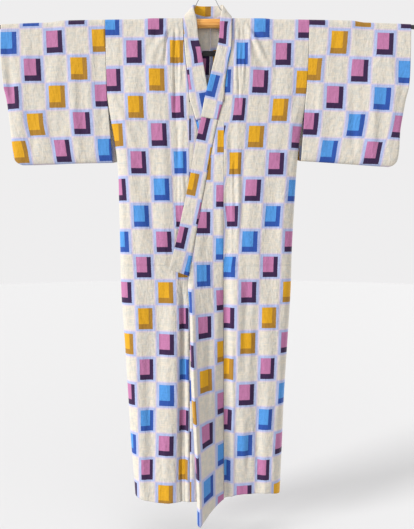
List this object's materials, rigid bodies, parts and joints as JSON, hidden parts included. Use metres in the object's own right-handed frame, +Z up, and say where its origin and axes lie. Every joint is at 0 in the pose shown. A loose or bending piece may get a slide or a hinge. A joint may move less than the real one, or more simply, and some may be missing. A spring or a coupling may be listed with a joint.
{
  "type": "cotton yukata robe on a kimono hanger",
  "caption": "Straight-cut cotton yukata robe with wide open sleeves, hung flat on a telescoping kimono hanger with a wire sling and hook.",
  "frame": {"origin": "inner bearing point at the top of the hanger's hook, in the middle of the garment's width", "axes": "+X towards the wearer's left sleeve, +Y towards the back of the robe (its front faces -Y), +Z up"},
  "size_m": [1.3766, 0.1708, 1.7616],
  "materials": {
    "body_left": "plain-woven printed cotton",
    "body_right": "plain-woven printed cotton",
    "sleeve_left": "plain-woven printed cotton",
    "sleeve_right": "plain-woven printed cotton",
    "okumi_left": "plain-woven printed cotton",
    "okumi_right": "plain-woven printed cotton",
    "collar": "plain-woven printed cotton, folded double",
    "collar_cover": "plain-woven printed cotton, folded double",
    "neck_label": "blank woven tape",
    "hanger_bar": "varnished",
    "hanger_arm_left": "black, semi-gloss",
    "hanger_arm_right": "black, semi-gloss",
    "hanger_end_left": "black, semi-gloss",
    "hanger_end_right": "black, semi-gloss",
    "hanger_hook": "plated wire",
    "hanger_sling": "plated wire"
  },
  "bodies": {
    "root": {"body_left": "body_left", "body_right": "body_right", "sleeve_left": "sleeve_left", "sleeve_right": "sleeve_right", "okumi_left": "okumi_left", "okumi_right": "okumi_right", "collar": "collar", "collar_cover": "collar_cover", "neck_label": "neck_label", "hanger_bar": "hanger_bar", "hanger_arm_left": "hanger_arm_left", "hanger_arm_right": "hanger_arm_right", "hanger_end_left": "hanger_end_left", "hanger_end_right": "hanger_end_right", "hanger_hook": "hanger_hook", "hanger_sling": "hanger_sling"}
  },
  "joints": []
}
